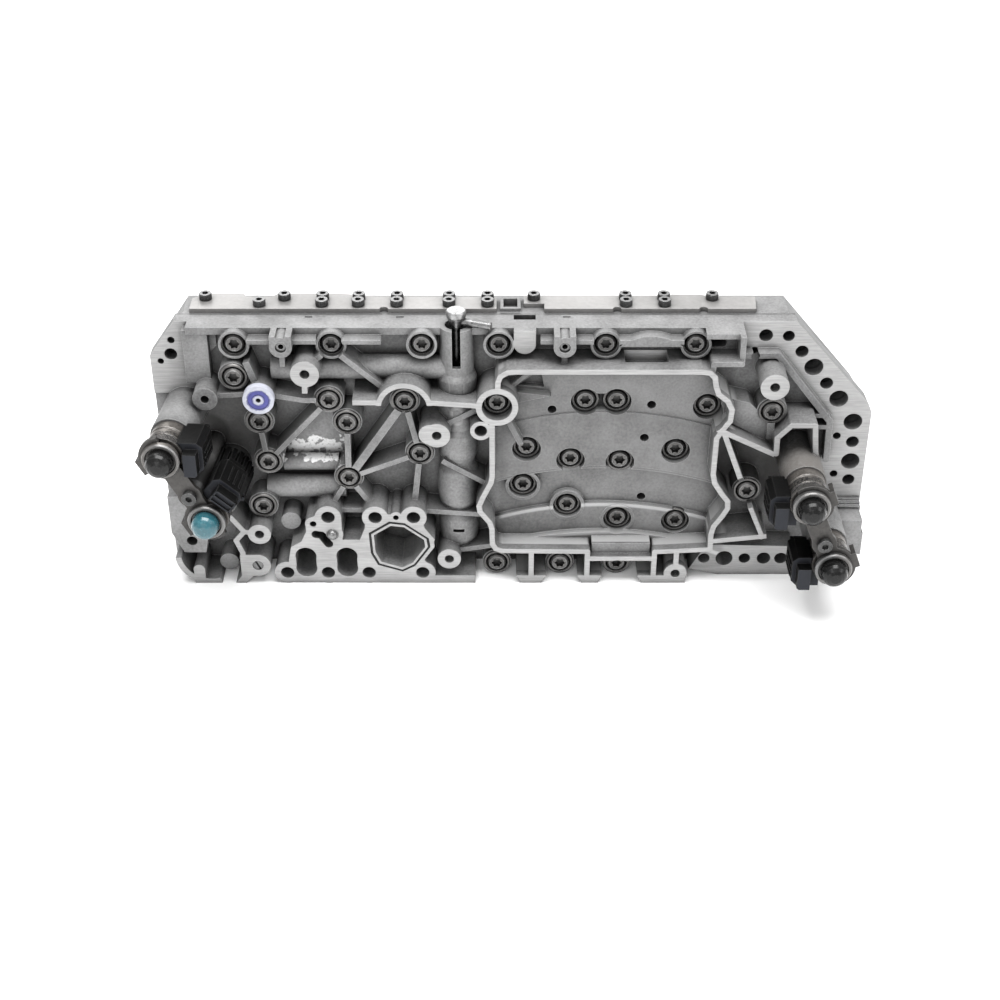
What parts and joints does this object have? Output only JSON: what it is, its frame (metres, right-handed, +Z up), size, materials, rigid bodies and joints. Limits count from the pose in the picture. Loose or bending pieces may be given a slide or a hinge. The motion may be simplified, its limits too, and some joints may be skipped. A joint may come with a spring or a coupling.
{
  "type": "transmission valve body",
  "caption": "Hydraulic valve body of an automatic gearbox: bolted aluminium castings with a ribbed front, an oil tray, a port face, spool valves, a manual valve and clamped solenoids.",
  "frame": {"origin": "middle of the overall box at the bottom edge the part stands on", "axes": "+X along the castings to the right of the picture, +Y from the front rims to the back, +Z up"},
  "size_m": [0.324, 0.082, 0.135],
  "materials": {
    "cast_aluminium": "as cast, machined rims",
    "plate_steel": "plain",
    "cover_steel": "plain",
    "dark_steel": "phosphated",
    "bright_steel": "ground",
    "can_steel": "plated",
    "clamp_steel": "dull",
    "black_plastic": "moulded",
    "gloss_black": "glossy",
    "teal_plastic": "glossy",
    "white_plastic": "moulded",
    "blue_plastic": "moulded",
    "rubber": "matt"
  },
  "bodies": {
    "housing": {"front_housing": "cast_aluminium", "separator_plate": "plate_steel", "rear_housing": "cast_aluminium", "left_cover_plate": "cover_steel", "right_cover_plate": "cover_steel", "cover_screws": "dark_steel", "top_row_bolts": "dark_steel", "field_bolts": "dark_steel", "tray_bolts": "dark_steel", "lower_row_bolts": "dark_steel", "spring_1": "bright_steel", "spring_2": "bright_steel", "spring_3": "bright_steel", "spring_4": "bright_steel", "spring_5": "bright_steel", "spool_plugs": "bright_steel", "left_upper_solenoid": "can_steel", "left_lower_solenoid": "can_steel", "right_upper_solenoid": "can_steel", "right_lower_solenoid": "can_steel", "left_upper_connector": "black_plastic", "left_lower_connector": "black_plastic", "right_upper_connector": "black_plastic", "right_lower_connector": "black_plastic", "left_upper_cap": "gloss_black", "left_lower_cap": "teal_plastic", "right_upper_cap": "gloss_black", "right_lower_cap": "gloss_black", "solenoid_seals": "rubber", "left_clamp": "clamp_steel", "right_clamp": "clamp_steel", "clamp_screws": "dark_steel", "port_seal": "rubber", "port_dowel": "bright_steel", "rail_dowels": "bright_steel", "slotted_plug": "dark_steel", "restrictor_bush": "white_plastic", "restrictor_seal": "blue_plastic"},
    "manual_valve": {"manual_valve": "bright_steel", "selector_pin": "bright_steel"},
    "spool_1": {"spool_1": "bright_steel"},
    "spool_2": {"spool_2": "bright_steel"},
    "spool_3": {"spool_3": "bright_steel"},
    "spool_4": {"spool_4": "bright_steel"},
    "spool_5": {"spool_5": "bright_steel"}
  },
  "joints": [
    {"name": "manual_valve_slide", "type": "slide", "parent": "housing", "child": "manual_valve", "axis": [0, 0, 1], "range_m": [0, 0.018]},
    {"name": "spool_1_slide", "type": "slide", "parent": "housing", "child": "spool_1", "axis": [0, 0, 1], "range_m": [-0.006, 0], "stiffness_N_per_m": 800, "springref_m": 0.004, "deforming": ["spring_1"]},
    {"name": "spool_2_slide", "type": "slide", "parent": "housing", "child": "spool_2", "axis": [0, 0, 1], "range_m": [-0.006, 0], "stiffness_N_per_m": 800, "springref_m": 0.004, "deforming": ["spring_2"]},
    {"name": "spool_3_slide", "type": "slide", "parent": "housing", "child": "spool_3", "axis": [0, 0, 1], "range_m": [-0.006, 0], "stiffness_N_per_m": 800, "springref_m": 0.004, "deforming": ["spring_3"]},
    {"name": "spool_4_slide", "type": "slide", "parent": "housing", "child": "spool_4", "axis": [0, 0, 1], "range_m": [-0.006, 0], "stiffness_N_per_m": 800, "springref_m": 0.004, "deforming": ["spring_4"]},
    {"name": "spool_5_slide", "type": "slide", "parent": "housing", "child": "spool_5", "axis": [0, 0, 1], "range_m": [-0.006, 0], "stiffness_N_per_m": 800, "springref_m": 0.004, "deforming": ["spring_5"]}
  ]
}
